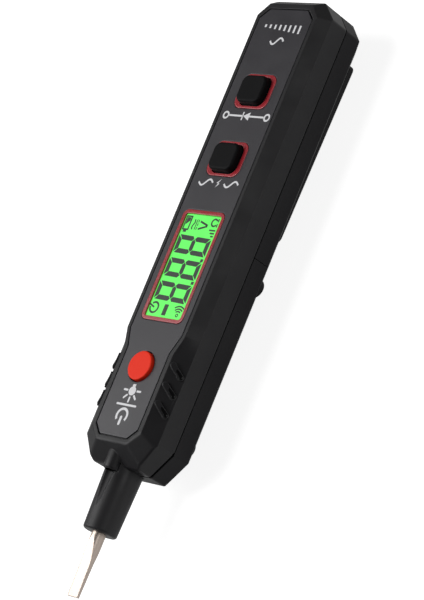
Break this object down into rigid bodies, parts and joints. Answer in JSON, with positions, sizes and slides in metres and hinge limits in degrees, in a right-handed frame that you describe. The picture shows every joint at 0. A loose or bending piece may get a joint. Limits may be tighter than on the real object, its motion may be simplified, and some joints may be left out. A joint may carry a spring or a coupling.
{
  "type": "non contact voltage tester",
  "caption": "Pen-shaped voltage tester with a lit digital display, press keys, torch, flat blade probe, battery cover and pocket clip.",
  "frame": {"origin": "bottom centre of the bounding box, on the outer face of the pocket clip", "axes": "+X from the probe tip to the cap end, +Z out of the front panel, +Y to the display's upper side"},
  "size_m": [0.16, 0.0258, 0.023],
  "materials": {
    "black_shell": "fine moulded texture, satin",
    "grey_panel": "smooth satin plate",
    "red_trim": "glossy",
    "clear_window": "clear, polished",
    "display_green": "lit green display cell",
    "black_rubber": "soft matt rubber",
    "board_green": "solder mask",
    "chip_black": "moulded package",
    "red_button": "satin orange-red",
    "lamp_clear": "clear lamp body",
    "plated_steel": "nickel plated",
    "black_sleeve": "satin insulating plastic",
    "blade_steel": "polished, fine grinding lines",
    "resistor_blue": "lacquered",
    "cell_jacket": "plain printed jacket"
  },
  "bodies": {
    "housing": {"front_shell": "black_shell", "back_shell": "black_shell", "front_panel": "grey_panel", "display_bezel": "red_trim", "key_surrounds": "red_trim", "display_lens": "clear_window", "display_glass": "display_green", "display_backlight": "display_green", "display_connectors": "black_rubber", "circuit_board": "board_green", "main_chip": "chip_black", "buzzer": "chip_black", "board_components": "chip_black", "press_switches": "chip_black", "torch_lamp": "lamp_clear", "torch_leads": "plated_steel", "probe_sleeve": "black_sleeve", "probe_blade": "blade_steel", "safety_resistor": "resistor_blue", "probe_contact": "plated_steel", "battery_tray": "black_shell", "battery_left": "cell_jacket", "battery_right": "cell_jacket", "battery_contacts": "plated_steel", "battery_springs": "plated_steel", "shell_screws": "plated_steel", "board_screws": "plated_steel"},
    "power_button_body": {"power_button": "red_button", "power_plunger": "chip_black"},
    "connect_key_body": {"connect_key": "black_rubber", "connect_plunger": "chip_black"},
    "voltage_key_body": {"voltage_key": "black_rubber", "voltage_plunger": "chip_black"},
    "battery_cover_body": {"battery_cover": "black_shell"},
    "pocket_clip_body": {"pocket_clip": "black_shell"}
  },
  "joints": [
    {"name": "power_press", "type": "slide", "parent": "housing", "child": "power_button_body", "axis": [0, 0, -1], "range_m": [0, 0.0004], "stiffness_N_per_m": 2000, "springref_m": -0.0002},
    {"name": "connect_press", "type": "slide", "parent": "housing", "child": "connect_key_body", "axis": [0, 0, -1], "range_m": [0, 0.0004], "stiffness_N_per_m": 2000, "springref_m": -0.0002},
    {"name": "voltage_press", "type": "slide", "parent": "housing", "child": "voltage_key_body", "axis": [0, 0, -1], "range_m": [0, 0.0004], "stiffness_N_per_m": 2000, "springref_m": -0.0002},
    {"name": "cover_slide", "type": "slide", "parent": "housing", "child": "battery_cover_body", "axis": [1, 0, 0], "range_m": [0, 0.012]},
    {"name": "clip_flex", "type": "hinge", "parent": "battery_cover_body", "child": "pocket_clip_body", "pos_m": [0.0696, 0, 0.0032], "axis": [0, -1, 0], "range_deg": [0, 5], "stiffness_Nm_per_rad": 0.5, "springref_deg": -2.86}
  ]
}
